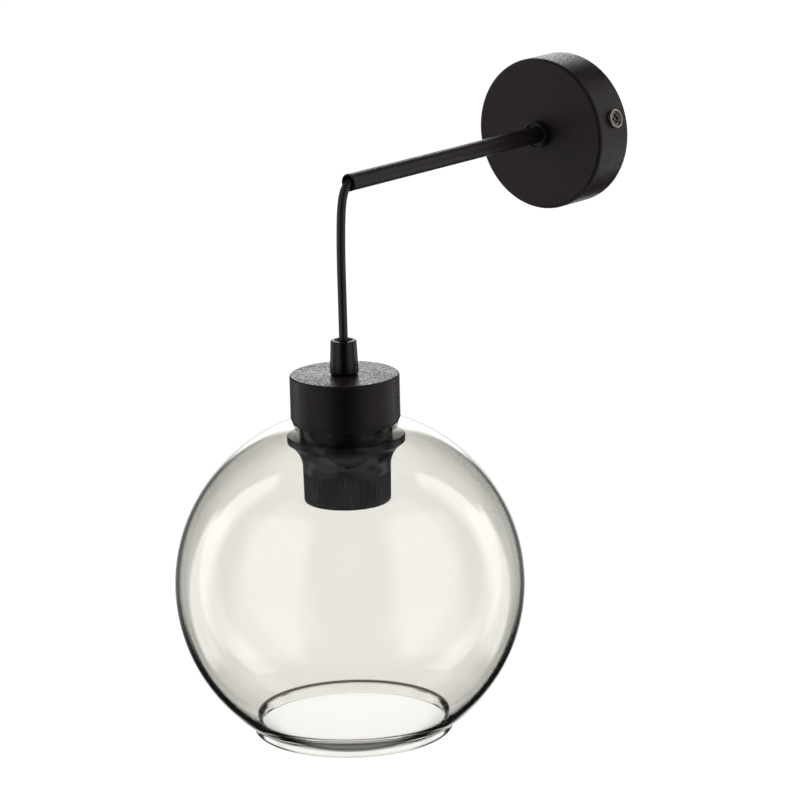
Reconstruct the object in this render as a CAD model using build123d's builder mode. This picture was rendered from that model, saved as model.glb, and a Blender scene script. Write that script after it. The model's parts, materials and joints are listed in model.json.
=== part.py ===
from build123d import *
import os
from math import acos, cos, degrees, pi, radians, sin, sqrt, tan

os.makedirs("parts", exist_ok=True)

# Wall light with a straight arm and a glass globe that hangs from it on a short cord.
# The origin is the middle of the canopy's back, on the wall. +Y goes into the wall,
# +Z is up, and the arm reaches out along -Y. All sizes are in millimetres.

# Clearances
thread_gap = 0.05          # between a screw thread and its hole, on the radius
slide_gap = 0.15           # between parts that turn or slide on each other, on the radius
rest_gap = 0.3             # between a moving part and its seat
clear_gap = 0.3            # round a part that passes through a hole, on the radius
seat_gap = 0.1             # between fixed parts that lie on each other

# Canopy on the wall
canopy_d = 90.0
canopy_depth = 27.0
canopy_wall = 1.2
canopy_edge_r = 2.2

# Bracket inside the canopy, turned about the arm's axis
bracket_turn = 14.0        # degrees
sheet_t = 1.5
screw_back = 0.4           # the small screws stop this far inside the sheet's back
strap_width = 20.0
tab_width = 12.0
tab_reach = 17.0
bend_r = 1.0
fixing_spacing = 60.0
fixing_hole_d = 4.5
slot_length = 13.0
slot_middle = 17.0
wing_low = 40.0
wing_width = 34.0
wing_middle = 4.0

# Screws that hold the canopy on the bracket's tabs
side_screw_d = 4.0
side_screw_length = 10.0
side_screw_out = 11.4
side_head_d = 11.2
side_head_t = 2.0
side_dish_d = 8.4
side_dish_t = 0.5
side_rim_r = 0.3

# Arm, a thin tube with a threaded root
arm_d = 10.0
arm_wall = 1.0
arm_reach = 203.0
arm_root = 20.5
arm_nut_across = 14.0
arm_nut_t = 3.2
arm_washer_d = 18.0
washer_t = 0.8
collar_d = 16.0
collar_t = 5.0
collar_recess_d = 13.4
collar_recess_t = 1.4
collar_rim_r = 0.5

# Cord and its two cores
cord_d = 5.0
core_d = 1.9
core_spacing = 2.2
cord_start = 197.0         # the free stretch starts this far out, just inside the arm's mouth
inner_bend_r = 8.5         # where the cord turns down inside the canopy

# Cord clamp on the bracket
clamp_middle = -11.5
clamp_length = 5.5
clamp_width = 20.0
clamp_ear_t = 3.0
clamp_arch_t = 2.0
clamp_screw_d = 3.0
clamp_screw_spacing = 14.6
clamp_head_d = 5.2
clamp_head_t = 1.8
jacket_end = -15.5
core_lead = 3.0            # straight start and end of each core

# Terminal block on the bracket, with two poles
block_top = -26.0
block_length = 13.0
block_width = 15.4
block_base_t = 7.2
block_tower_t = 4.6
tower_width = 4.6
tower_length = 12.0
block_corner_r = 1.0
pole_spacing = 7.3
barrel_d = 4.5
barrel_bore_d = 2.4
barrel_height = 4.6
barrel_screw_d = 2.6
barrel_screw_spacing = 6.6
barrel_screw_sink = 1.0
block_screw_d = 2.4
block_screw_head_d = 4.0
block_screw_head_t = 1.5

# Earth terminal on the bracket
earth_u, earth_v = 16.0, -22.0
earth_screw_d = 4.0
earth_head_d = 7.6
earth_head_t = 2.6
earth_washer_d = 9.0
earth_head_r = 0.6

# Lamp, hung under the arm's mouth. Its heights are counted from the crown of the glass ball.
lamp_out = 211.0           # from the wall to the lamp's upright axis
crown_drop = 131.0         # from the arm's axis down to the crown

# Glass globe
globe_d = 200.0
glass_t = 2.5
glass_hole_d = 43.0
lip_d = 114.6
lip_length = 4.0
lip_edge_r = 1.0

# Cap over the globe
cap_d = 62.2
cap_wall = 1.0
cap_low = -2.5
cap_height = 25.5
cap_edge_r = 1.3

# Threaded nipple that joins the cord grip, the cap and the lampholder
nipple_d = 10.0
nipple_bore_d = 6.8
nipple_low = 12.6
nipple_length = 19.8
nipple_chamfer = 0.5
cap_washer_d = 18.0

# Cord grip, a tapered sleeve with an open funnel
grip_height = 19.5
grip_top_d = 14.6
grip_base_d = 16.4
grip_mouth_d = 10.2
grip_thread_t = 9.5
grip_throat_t = 4.5        # depth of the funnel
grip_base_r = 1.6
grip_rim_r = 0.7
grip_throat_wall = 1.0
cone_low_d = 9.8
cone_high_d = 6.4
jaw_length = 4.1
jaw_slit = 0.8
grip_screw_d = 3.0
grip_screw_low = 6.5
grip_screw_length = 2.6
jacket_out = 2.0           # the cord's jacket reaches this far below the nipple

# Lampholder for an E27 lamp cap
dome_d = 44.0
dome_low = -0.5
dome_side_t = 8.5
dome_boss_d = 18.0
dome_boss_t = 2.5
dome_roof_t = 6.5
dome_step = 1.8
skirt_d = 40.0
skirt_wall = 2.4
skirt_low = -48.0
skirt_high = 6.0
skirt_edge_r = 0.8
socket_r = 13.35
socket_wall = 1.85
socket_thread_high = -23.5
socket_relief = 0.55
socket_rim_t = 2.5
insert_low = -12.2
insert_t = 8.2
barrier_t = 5.0
barrier_width = 2.0
barrier_length = 24.0
key_width = 4.0
key_depth = 1.5
groove_past = 4.0
groove_side_gap = 0.7
groove_t = 1.2
terminal_x = 9.0
terminal_size = (6.0, 7.0, 5.5)
rivet_d = 3.1
foot_in = 1.35             # a terminal's foot reaches this far in and out from its middle
foot_out = 2.05
core_floor = 1.0
core_end = 1.5
screw_up = 2.2
core_drop = 2.5
core_rise = 6.6
strip_t = 0.6
strip_width = 5.0
contact_screw_d = 2.6
contact_head_d = 4.0
contact_head_t = 1.2
contact_tip = -17.0
leaf_flat = 0.9
leaf_pad_in = 1.7
leaf_pad_out = 2.5
side_contact_low = -22.4
side_contact_bend = 4.0
side_contact_lean = 0.8

# Shade ring that holds the globe up
flange_d = 66.4
flange_low = -16.7
flange_high = -12.7
ring_d = 49.8
ring_low_d = 49.2
ring_low = -50.8
ring_waist = -31.0
ring_wall = 2.3
ring_edge_r = 1.2
ring_collar_d = 52.0
ring_thread_low = -24.0
ring_step_t = 2.0
flange_edge_r = 0.8

# Gaskets above and below the glass
upper_gasket_d = 60.4
upper_gasket_bore_d = 54.6
upper_gasket_lip = 3.5
lower_gasket_d = 51.6
lower_gasket_bore_d = 43.8
lower_gasket_t = 1.1       # at its outer edge

# Frames that the parts are drawn in
along = Vector(cos(radians(bracket_turn)), 0, sin(radians(bracket_turn)))
bracket_plane = Plane(origin=(0, 0, 0), x_dir=along, z_dir=(0, -1, 0))
bend_plane = Plane(origin=(0, 0, 0), x_dir=along, z_dir=-bracket_plane.y_dir)
wall_plane = Plane.XZ
lamp_section = Plane(origin=(0, -lamp_out, -crown_drop), x_dir=(1, 0, 0), z_dir=(0, -1, 0))
lamp_axis = Axis((0, -lamp_out, 0), (0, 0, 1))


def lamp_level(height):
    """Level plane through the lamp's axis, at a height above the crown."""
    return Plane(origin=(0, -lamp_out, height - crown_drop))


def side_plane(side, reach):
    """Plane across a canopy screw, at a distance from the arm's axis."""
    middle = along * (side * reach) + Vector(0, -side_screw_out, 0)
    return Plane(origin=middle, x_dir=(0, -1, 0), z_dir=along * side)


def lamp_side_plane(reach, height, side=1):
    """Upright plane that faces sideways from the lamp's axis."""
    middle = (side * reach, -lamp_out, height - crown_drop)
    return Plane(origin=middle, x_dir=(0, 1, 0), z_dir=(side, 0, 0))


def corner_radii(points):
    """Radius at each corner: 0.45 of the shorter run over the tangent of half the turn."""
    radii = []
    for before, corner, after in zip(points, points[1:], points[2:]):
        run_in = corner - before
        run_out = after - corner
        half_turn = radians(run_in.get_angle(run_out)) / 2
        radii.append(0.45 * min(run_in.length, run_out.length) / tan(half_turn))
    return radii


def round_cable(name, points, diameter, radii=None):
    """Round cable along straight runs joined by tangent arcs. It prints its radii and volume check."""
    points = [Vector(*point) for point in points]
    radii = radii or corner_radii(points)
    with BuildPart() as cable:
        with BuildLine() as route:
            FilletPolyline(*points, radius=radii)
        with BuildSketch(Plane(origin=route.line @ 0, z_dir=route.line % 0)):
            Circle(diameter / 2)
        sweep()
    path = route.wire()
    plain_volume = pi * diameter**2 / 4 * path.length
    print(name, "length", round(path.length, 2), "radii", [round(r, 1) for r in radii])
    print(name, "volume", round(cable.part.volume, 1), "section times length", round(plain_volume, 1))
    return cable


def save(name, builder):
    """Label a finished piece and write it under its own name."""
    builder.part.label = name
    export_step(builder.part, f"parts/{name}.step")


# Canopy, a spun cup with a hole for the arm and two for its side screws
canopy_r = canopy_d / 2
canopy_inner_r = canopy_r - canopy_wall
with BuildPart() as canopy:
    with BuildSketch(wall_plane):
        Circle(canopy_r)
    extrude(amount=canopy_depth)
    fillet(canopy.faces().sort_by(Axis.Y)[0].edges(), radius=canopy_edge_r)
    offset(amount=-canopy_wall, openings=canopy.faces().sort_by(Axis.Y)[-1])
    with BuildSketch(wall_plane):
        Circle(arm_d / 2 + clear_gap)
    extrude(amount=canopy_depth, mode=Mode.SUBTRACT)
    for side in (1, -1):
        with BuildSketch(side_plane(side, canopy_inner_r - canopy_wall)):
            Circle(side_screw_d / 2 + clear_gap)
        extrude(amount=4 * canopy_wall, mode=Mode.SUBTRACT)
save("canopy", canopy)

# Bracket, one strap with bent tabs for the canopy and a wing that carries the wiring
tab_face = sqrt((canopy_inner_r - clear_gap) ** 2 - (tab_width / 2) ** 2) - clear_gap
wing_height = wing_low - strap_width / 2
with BuildPart() as wall_bracket:
    with BuildSketch(bend_plane) as bent_strap:
        with Locations((0, tab_reach / 2)):
            Rectangle(2 * tab_face, tab_reach)
        with Locations((0, sheet_t + tab_reach / 2)):
            Rectangle(2 * (tab_face - sheet_t), tab_reach, mode=Mode.SUBTRACT)
        fillet(bent_strap.vertices().group_by(Axis.Y)[1], radius=bend_r)
        fillet(bent_strap.vertices().group_by(Axis.Y)[0], radius=bend_r + sheet_t)
    extrude(amount=tab_width / 2, both=True)
    with BuildSketch(bracket_plane):
        Rectangle(2 * (tab_face - sheet_t - bend_r), strap_width)
        with Locations((wing_middle, -(strap_width + wing_height) / 2)):
            Rectangle(wing_width, wing_height)
        Circle(canopy_inner_r - 2 * clear_gap, mode=Mode.INTERSECT)
    extrude(amount=sheet_t)
    with BuildSketch(bracket_plane):
        with Locations((-fixing_spacing / 2, 0), (fixing_spacing / 2, 0)):
            Circle(fixing_hole_d / 2)
        with Locations((-slot_middle, 0), (slot_middle, 0)):
            SlotOverall(slot_length, fixing_hole_d)
        with Locations((-clamp_screw_spacing / 2, clamp_middle), (clamp_screw_spacing / 2, clamp_middle)):
            Circle(clamp_screw_d / 2 + thread_gap)
        with Locations((0, block_top - block_length / 2)):
            Circle(block_screw_d / 2 + thread_gap)
        with Locations((earth_u, earth_v)):
            Circle(earth_screw_d / 2 + thread_gap)
    extrude(amount=sheet_t, mode=Mode.SUBTRACT)
    for side in (1, -1):
        with BuildSketch(side_plane(side, tab_face - 2 * sheet_t)):
            Circle(side_screw_d / 2 + thread_gap)
        extrude(amount=3 * sheet_t, mode=Mode.SUBTRACT)
save("wall_bracket", wall_bracket)

# Canopy screws, with wide flat heads that are dished inside their rims
with BuildPart() as canopy_screws:
    for side in (1, -1):
        with BuildSketch(side_plane(side, canopy_r)):
            Circle(side_head_d / 2)
        extrude(amount=side_head_t)
        with BuildSketch(side_plane(side, canopy_r + side_head_t)):
            Circle(side_dish_d / 2)
        extrude(amount=-side_dish_t, mode=Mode.SUBTRACT)
        with BuildSketch(side_plane(side, canopy_r)):
            Circle(side_screw_d / 2)
        extrude(amount=-side_screw_length)
    head_rims = canopy_screws.edges().filter_by(GeomType.CIRCLE).group_by(SortBy.RADIUS)[-1]
    fillet(head_rims, radius=side_rim_r)
save("canopy_screws", canopy_screws)

# Arm, its nut and washer inside the canopy and the collar at its root outside
arm_r = arm_d / 2
front_inside = canopy_depth - canopy_wall
with BuildPart() as arm_tube:
    with BuildSketch(wall_plane.offset(arm_root)):
        Circle(arm_r)
        Circle(arm_r - arm_wall, mode=Mode.SUBTRACT)
    extrude(amount=arm_reach - arm_root)
    fillet(arm_tube.faces().sort_by(Axis.Y)[0].edges(), radius=arm_wall / 4)
save("arm_tube", arm_tube)

with BuildPart() as arm_washer:
    with BuildSketch(wall_plane.offset(front_inside - washer_t)):
        Circle(arm_washer_d / 2)
        Circle(arm_r + clear_gap, mode=Mode.SUBTRACT)
    extrude(amount=washer_t)
save("arm_washer", arm_washer)

with BuildPart() as arm_nut:
    with BuildSketch(wall_plane.offset(front_inside - washer_t - arm_nut_t)):
        RegularPolygon(arm_nut_across / 2, 6, major_radius=False)
        Circle(arm_r + thread_gap, mode=Mode.SUBTRACT)
    extrude(amount=arm_nut_t)
save("arm_nut", arm_nut)

with BuildPart() as arm_collar:
    with BuildSketch(wall_plane.offset(canopy_depth)):
        Circle(collar_d / 2)
        Circle(arm_r + thread_gap, mode=Mode.SUBTRACT)
    extrude(amount=collar_t)
    with BuildSketch(wall_plane.offset(canopy_depth + collar_t)):
        Circle(collar_recess_d / 2)
        Circle(arm_r + thread_gap, mode=Mode.SUBTRACT)
    extrude(amount=-collar_recess_t, mode=Mode.SUBTRACT)
    fillet(arm_collar.faces().sort_by(Axis.Y)[0].edges(), radius=collar_rim_r)
save("arm_collar", arm_collar)

# Cord inside the arm: straight through the tube, then down over the bracket to its clamp
cord_r = cord_d / 2
cord_bed = sheet_t + cord_r + seat_gap
inner_points = [(0, 0, cord_start), (0, 0, cord_bed), (0, jacket_end, cord_bed)]
inner_route = [bracket_plane.from_local_coords(point) for point in inner_points]
cord_in_arm = round_cable("cord_in_arm", inner_route, cord_d, [inner_bend_r])
save("cord_in_arm", cord_in_arm)

# Saddle that clamps the cord on the bracket, and its two screws
with BuildPart() as cord_clamp:
    with BuildSketch(bend_plane.offset(-clamp_middle)) as saddle:
        with Locations((0, sheet_t + clamp_ear_t / 2)):
            Rectangle(clamp_width, clamp_ear_t)
        with Locations((0, cord_bed)):
            Circle(cord_r + clamp_arch_t)
        with Locations((0, sheet_t - cord_bed / 2)):
            Rectangle(clamp_width, cord_bed, mode=Mode.SUBTRACT)
        with Locations((0, cord_bed)):
            Circle(cord_r + thread_gap, mode=Mode.SUBTRACT)
        with Locations((0, cord_bed / 2)):
            Rectangle(cord_d + 2 * thread_gap, cord_bed, mode=Mode.SUBTRACT)
    extrude(amount=clamp_length / 2, both=True)
    with BuildSketch(bracket_plane.offset(sheet_t)):
        with Locations((-clamp_screw_spacing / 2, clamp_middle), (clamp_screw_spacing / 2, clamp_middle)):
            Circle(clamp_screw_d / 2 + thread_gap)
    extrude(amount=clamp_ear_t, mode=Mode.SUBTRACT)
save("cord_clamp", cord_clamp)

with BuildPart() as cord_clamp_screws:
    for side in (1, -1):
        spot = (side * clamp_screw_spacing / 2, clamp_middle)
        with BuildSketch(bracket_plane.offset(sheet_t + clamp_ear_t)):
            with Locations(spot):
                Circle(clamp_head_d / 2)
        extrude(amount=clamp_head_t)
        with BuildSketch(bracket_plane.offset(screw_back)):
            with Locations(spot):
                Circle(clamp_screw_d / 2)
        extrude(amount=sheet_t - screw_back + clamp_ear_t)
save("cord_clamp_screws", cord_clamp_screws)

# Terminal block, a moulded body with a tower over each barrel
block_middle = block_top - block_length / 2
poles = [(-pole_spacing / 2, block_middle), (pole_spacing / 2, block_middle)]
screw_rows = [block_middle - barrel_screw_spacing / 2, block_middle + barrel_screw_spacing / 2]
barrel_axis = sheet_t + barrel_height
screw_spots = [(pole[0], row) for pole in poles for row in screw_rows]
block_high = sheet_t + block_base_t + block_tower_t
with BuildPart() as terminal_block:
    with BuildSketch(bracket_plane.offset(sheet_t)):
        with Locations((0, block_middle)):
            RectangleRounded(block_width, block_length, block_corner_r)
    extrude(amount=block_base_t)
    with BuildSketch(bracket_plane.offset(sheet_t + block_base_t)):
        with Locations(*poles):
            Rectangle(tower_width, tower_length)
    extrude(amount=block_tower_t)
    with BuildSketch(bend_plane.offset(-block_top)):
        with Locations(*[(pole[0], barrel_axis) for pole in poles]):
            Circle(barrel_d / 2 + thread_gap)
    extrude(amount=block_length, mode=Mode.SUBTRACT)
    with BuildSketch(bracket_plane.offset(barrel_axis)):
        with Locations(*screw_spots):
            Circle(barrel_screw_d / 2 + slide_gap)
    extrude(amount=block_high - barrel_axis, mode=Mode.SUBTRACT)
    with BuildSketch(bracket_plane.offset(sheet_t)):
        with Locations((0, block_middle)):
            Circle(block_screw_d / 2 + thread_gap)
    extrude(amount=block_base_t, mode=Mode.SUBTRACT)
save("terminal_block", terminal_block)

with BuildPart() as terminal_barrels:
    with BuildSketch(bend_plane.offset(-block_top + rest_gap)):
        with Locations(*[(pole[0], barrel_axis) for pole in poles]):
            Circle(barrel_d / 2)
            Circle(barrel_bore_d / 2, mode=Mode.SUBTRACT)
    extrude(amount=block_length - 2 * rest_gap)
    with BuildSketch(bracket_plane.offset(barrel_axis)):
        with Locations(*screw_spots):
            Circle(barrel_screw_d / 2 + thread_gap)
    extrude(amount=barrel_d, mode=Mode.SUBTRACT)
save("terminal_barrels", terminal_barrels)

with BuildPart() as terminal_screws:
    with BuildSketch(bracket_plane.offset(barrel_axis + core_d / 2 + thread_gap)):
        with Locations(*screw_spots):
            Circle(barrel_screw_d / 2)
    extrude(amount=block_high - barrel_axis - core_d / 2 - barrel_screw_sink)
save("terminal_screws", terminal_screws)

with BuildPart() as terminal_block_screw:
    with BuildSketch(bracket_plane.offset(screw_back)):
        with Locations((0, block_middle)):
            Circle(block_screw_d / 2)
    extrude(amount=sheet_t - screw_back + block_base_t)
    with BuildSketch(bracket_plane.offset(sheet_t + block_base_t)):
        with Locations((0, block_middle)):
            Rectangle(pole_spacing - tower_width - 2 * slide_gap, block_screw_head_d)
            Circle(block_screw_head_d / 2, mode=Mode.INTERSECT)
    extrude(amount=block_screw_head_t)
save("terminal_block_screw", terminal_block_screw)

# Earth terminal: a screw over a square-edged cup washer
with BuildPart() as earth_washer:
    with BuildSketch(bracket_plane.offset(sheet_t)):
        with Locations((earth_u, earth_v)):
            Circle(earth_washer_d / 2)
            Circle(earth_screw_d / 2 + slide_gap, mode=Mode.SUBTRACT)
    extrude(amount=washer_t)
save("earth_washer", earth_washer)

with BuildPart() as earth_screw:
    with BuildSketch(bracket_plane.offset(screw_back)):
        with Locations((earth_u, earth_v)):
            Circle(earth_screw_d / 2)
    extrude(amount=sheet_t - screw_back + washer_t)
    with BuildSketch(bracket_plane.offset(sheet_t + washer_t)):
        with Locations((earth_u, earth_v)):
            Circle(earth_head_d / 2)
    extrude(amount=earth_head_t)
    fillet(earth_screw.faces().sort_by(Axis.Y)[0].edges(), radius=earth_head_r)
save("earth_screw", earth_screw)

# Cores from the cord's cut end into the terminal barrels
for name, side in (("brown_core_wall", -1), ("blue_core_wall", 1)):
    start_u = side * core_spacing / 2
    end_u = side * pole_spacing / 2
    core_points = [
        (start_u, jacket_end, cord_bed),
        (start_u, jacket_end - core_lead, cord_bed),
        (end_u, block_top + core_lead, barrel_axis),
        (end_u, block_top - core_lead, barrel_axis),
    ]
    save(name, round_cable(name, [bracket_plane.from_local_coords(p) for p in core_points], core_d))

# Free cord: out of the arm's mouth, over its lip and down to the cord grip
cap_high = cap_low + cap_height
grip_low = cap_high - crown_drop
grip_high = grip_low + grip_height
grip_throat = grip_high - grip_throat_t
cord_points = [
    (0, -cord_start, 0),
    (0, -202.1, 0),
    (0, -206.4, -3.1),
    (0, -208.9, -9.2),
    (0, -210.4, -20.2),
    (0, -211.2, -42.0),
    (0, -lamp_out, -68.0),
    (0, -lamp_out, grip_throat),
]
pendant_cord = round_cable("pendant_cord", cord_points, cord_d)
save("pendant_cord", pendant_cord)

# Nipple through the cap, with a washer under the cap
nipple_r = nipple_d / 2
nipple_high = nipple_low + nipple_length
cap_inside = cap_high - cap_wall
with BuildPart() as nipple:
    with BuildSketch(lamp_level(nipple_low)):
        Circle(nipple_r)
        Circle(nipple_bore_d / 2, mode=Mode.SUBTRACT)
    extrude(amount=nipple_length)
    nipple_rims = nipple.edges().filter_by(GeomType.CIRCLE).group_by(SortBy.RADIUS)[-1]
    chamfer(nipple_rims, length=nipple_chamfer)
save("nipple", nipple)

with BuildPart() as cap_washer:
    with BuildSketch(lamp_level(cap_inside - washer_t)):
        Circle(cap_washer_d / 2)
        Circle(nipple_r + clear_gap, mode=Mode.SUBTRACT)
    extrude(amount=washer_t)
save("cap_washer", cap_washer)

# Cap, a shallow inverted cup over the top of the globe
cap_r = cap_d / 2
with BuildPart() as lamp_cap:
    with BuildSketch(lamp_level(cap_low)):
        Circle(cap_r)
    extrude(amount=cap_height)
    fillet(lamp_cap.faces().sort_by(Axis.Z)[-1].edges(), radius=cap_edge_r)
    offset(amount=-cap_wall, openings=lamp_cap.faces().sort_by(Axis.Z)[0])
    with BuildSketch(lamp_level(cap_high - 2 * cap_wall)):
        Circle(nipple_r + clear_gap)
    extrude(amount=3 * cap_wall, mode=Mode.SUBTRACT)
    fillet(lamp_cap.faces().sort_by(Axis.Z)[0].edges(), radius=cap_wall / 4)
save("lamp_cap", lamp_cap)

# Cord grip: a tapered sleeve, threaded inside at its foot, with a funnel where the cord enters
grip_plane = Plane(origin=(0, -lamp_out, grip_low), x_dir=(1, 0, 0), z_dir=(0, -1, 0))
cone_low = grip_thread_t
cone_high = grip_height - grip_throat_t - grip_throat_wall
throat_r = cord_r + slide_gap
cone_low_r = cone_low_d / 2
cone_high_r = cone_high_d / 2
with BuildPart() as cord_grip:
    with BuildSketch(grip_plane) as grip_profile:
        with BuildLine():
            Polyline(
                (nipple_r + thread_gap, 0),
                (grip_base_d / 2, 0),
                (grip_top_d / 2, grip_height),
                (grip_mouth_d / 2, grip_height),
                (throat_r, grip_height - grip_throat_t),
                (throat_r, cone_high),
                (cone_high_r, cone_high),
                (cone_low_r, cone_low),
                (nipple_r + thread_gap, cone_low),
                close=True,
            )
        make_face()
        corners = grip_profile.vertices()
        fillet(corners.group_by(Axis.Y)[0].sort_by(Axis.X)[-1], radius=grip_base_r)
        fillet(grip_profile.vertices().group_by(Axis.Y)[-1], radius=grip_rim_r)
    revolve(axis=lamp_axis)
    with BuildSketch(lamp_side_plane(0, cap_high + grip_screw_low)):
        Circle(grip_screw_d / 2 + thread_gap)
    extrude(amount=grip_base_d, mode=Mode.SUBTRACT)
save("cord_grip", cord_grip)

# Grub screw in the side of the grip, which locks it on the nipple
with BuildPart() as grip_screw:
    with BuildSketch(lamp_side_plane(nipple_r + thread_gap, cap_high + grip_screw_low)):
        Circle(grip_screw_d / 2)
    extrude(amount=grip_screw_length)
save("grip_screw", grip_screw)

# Jaws that the grip's inner cone squeezes on the cord, a ring with one slit
taper = (cone_low_r - cone_high_r) / (cone_high - cone_low)
jaw_low_r = cone_low_r - seat_gap * (1 + taper)
with BuildPart() as grip_jaws:
    with BuildSketch(grip_plane):
        with Locations((0, cone_low + seat_gap)):
            Polygon(
                (cord_r + thread_gap, 0),
                (jaw_low_r, 0),
                (jaw_low_r - taper * jaw_length, jaw_length),
                (cord_r + thread_gap, jaw_length),
                align=None,
            )
    revolve(axis=lamp_axis)
    with BuildSketch(lamp_side_plane(0, cap_high)):
        Rectangle(jaw_slit, 4 * grip_height)
    extrude(amount=nipple_d, mode=Mode.SUBTRACT)
save("grip_jaws", grip_jaws)

# Cord inside the grip and the nipple, down to its cut end in the lampholder
lamp_jacket_end = nipple_low - jacket_out
with BuildPart() as cord_in_lamp:
    with BuildSketch(lamp_level(lamp_jacket_end)):
        Circle(cord_r)
    extrude(amount=grip_throat + crown_drop - lamp_jacket_end)
save("cord_in_lamp", cord_in_lamp)

# Lampholder dome, screwed on the nipple's lower end
dome_r = dome_d / 2
skirt_r = skirt_d / 2
boss_r = dome_boss_d / 2
dome_high = cap_inside - washer_t
dome_shoulder = dome_low + dome_side_t
dome_seat = skirt_high + rest_gap
dome_inner_r = skirt_r - dome_step
with BuildPart() as lampholder_dome:
    with BuildSketch(lamp_section):
        with BuildLine():
            foot = (skirt_r + thread_gap, dome_low)
            side_line = Polyline(foot, (dome_r, dome_low), (dome_r, dome_shoulder))
            crown = TangentArc(side_line @ 1, (boss_r, dome_high - dome_boss_t), tangent=(0, 1))
            boss_line = Polyline(
                crown @ 1,
                (boss_r, dome_high),
                (nipple_r + thread_gap, dome_high),
                (nipple_r + thread_gap, nipple_low - seat_gap),
                (boss_r, nipple_low - seat_gap),
                (boss_r, dome_high - dome_roof_t),
            )
            TangentArc((dome_inner_r, dome_seat), boss_line @ 1, tangent=(0, 1))
            Polyline((dome_inner_r, dome_seat), (skirt_r + thread_gap, dome_seat), foot)
        make_face()
    revolve(axis=lamp_axis)
save("lampholder_dome", lampholder_dome)

# Lampholder skirt: a threaded outer wall folded in at the mouth to the socket's threaded sleeve
sleeve_r = socket_r + socket_wall
with BuildPart() as lampholder_skirt:
    with BuildSketch(lamp_section) as skirt_profile:
        with BuildLine():
            Polyline(
                (socket_r, skirt_low),
                (skirt_r, skirt_low),
                (skirt_r, skirt_high),
                (skirt_r - skirt_wall, skirt_high),
                (skirt_r - skirt_wall, skirt_low + socket_rim_t),
                (sleeve_r, skirt_low + socket_rim_t),
                (sleeve_r, insert_low - seat_gap),
                (socket_r + socket_relief, insert_low - seat_gap),
                (socket_r + socket_relief, socket_thread_high),
                (socket_r, socket_thread_high),
                close=True,
            )
        make_face()
        fillet(skirt_profile.vertices().group_by(Axis.Y)[0], radius=skirt_edge_r)
    revolve(axis=lamp_axis)
save("lampholder_skirt", lampholder_skirt)

# Insert that carries the contacts, with a barrier between its two terminals
insert_high = insert_low + insert_t
insert_r = skirt_r - skirt_wall - slide_gap
strip_low = insert_low - strip_t
groove_root = terminal_x - foot_in - rest_gap
with BuildPart() as lampholder_insert:
    with BuildSketch(lamp_level(insert_low)):
        Circle(insert_r)
        with Locations((0, insert_r), (0, -insert_r)):
            Rectangle(key_width, 2 * key_depth, mode=Mode.SUBTRACT)
        with Locations((-terminal_x, 0), (terminal_x, 0)):
            Circle(rivet_d / 2 + thread_gap, mode=Mode.SUBTRACT)
    extrude(amount=insert_t)
    with BuildSketch(lamp_level(insert_high)):
        Rectangle(barrier_width, barrier_length)
    extrude(amount=barrier_t)
    with BuildSketch(lamp_level(insert_low)):
        with Locations(((groove_root - groove_past) / 2, 0)):
            Rectangle(groove_root + groove_past, strip_width + 2 * groove_side_gap)
    extrude(amount=groove_t, mode=Mode.SUBTRACT)
save("lampholder_insert", lampholder_insert)

# Screw terminals on the insert, each riveted through it to a contact strip below
block_x, block_y, block_z = terminal_size
screw_level = insert_high + screw_up
for name, side in (("live_terminal", 1), ("neutral_terminal", -1)):
    with BuildPart() as terminal:
        with BuildSketch(lamp_level(insert_high)):
            with Locations((side * terminal_x, 0)):
                Rectangle(block_x, block_y)
        extrude(amount=block_z)
        with BuildSketch(lamp_level(insert_low)):
            with Locations((side * terminal_x, 0)):
                Circle(rivet_d / 2)
        extrude(amount=insert_t)
        with BuildSketch(lamp_level(strip_low)):
            with Locations((side * (terminal_x + (foot_out - foot_in) / 2), 0)):
                Rectangle(foot_in + foot_out, strip_width)
        extrude(amount=strip_t)
        with BuildSketch(lamp_level(insert_high + core_floor)):
            with Locations((side * terminal_x, 0)):
                Circle(core_d / 2 + thread_gap)
        extrude(amount=block_z, mode=Mode.SUBTRACT)
        with BuildSketch(lamp_side_plane(terminal_x, screw_level, side)):
            Circle(contact_screw_d / 2 + thread_gap)
        extrude(amount=block_x, mode=Mode.SUBTRACT)
    save(name, terminal)

with BuildPart() as contact_screws:
    for side in (1, -1):
        with BuildSketch(lamp_side_plane(terminal_x + core_d / 2 + seat_gap, screw_level, side)):
            Circle(contact_screw_d / 2)
        extrude(amount=block_x / 2 - core_d / 2)
        with BuildSketch(lamp_side_plane(terminal_x + block_x / 2 + seat_gap, screw_level, side)):
            Circle(contact_head_d / 2)
        extrude(amount=contact_head_t)
save("contact_screws", contact_screws)

# Side contact, a strip that turns down beside the lamp cap's shell
side_strip_x = terminal_x + foot_out + rest_gap + strip_t
with BuildPart() as side_contact:
    with BuildSketch(lamp_section):
        with BuildLine():
            Polyline(
                (-(terminal_x + foot_out + thread_gap), strip_low),
                (-side_strip_x, strip_low),
                (-side_strip_x, side_contact_low + side_contact_bend),
                (-side_strip_x + side_contact_lean, side_contact_low),
            )
            offset(amount=strip_t, side=Side.LEFT)
        make_face()
    extrude(amount=strip_width / 2, both=True)
save("side_contact", side_contact)

# Centre contact, a sprung leaf that a lamp cap pushes up
leaf_root = groove_root - rest_gap
leaf_low = insert_low - 2 * seat_gap - strip_t
with BuildPart() as centre_contact:
    with BuildSketch(lamp_section):
        with BuildLine():
            Polyline(
                (leaf_root, leaf_low),
                (leaf_root - leaf_flat, leaf_low),
                (leaf_pad_in, contact_tip),
                (-leaf_pad_out, contact_tip),
            )
            offset(amount=strip_t, side=Side.RIGHT)
        make_face()
    extrude(amount=strip_width / 2, both=True)
save("centre_contact", centre_contact)

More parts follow.
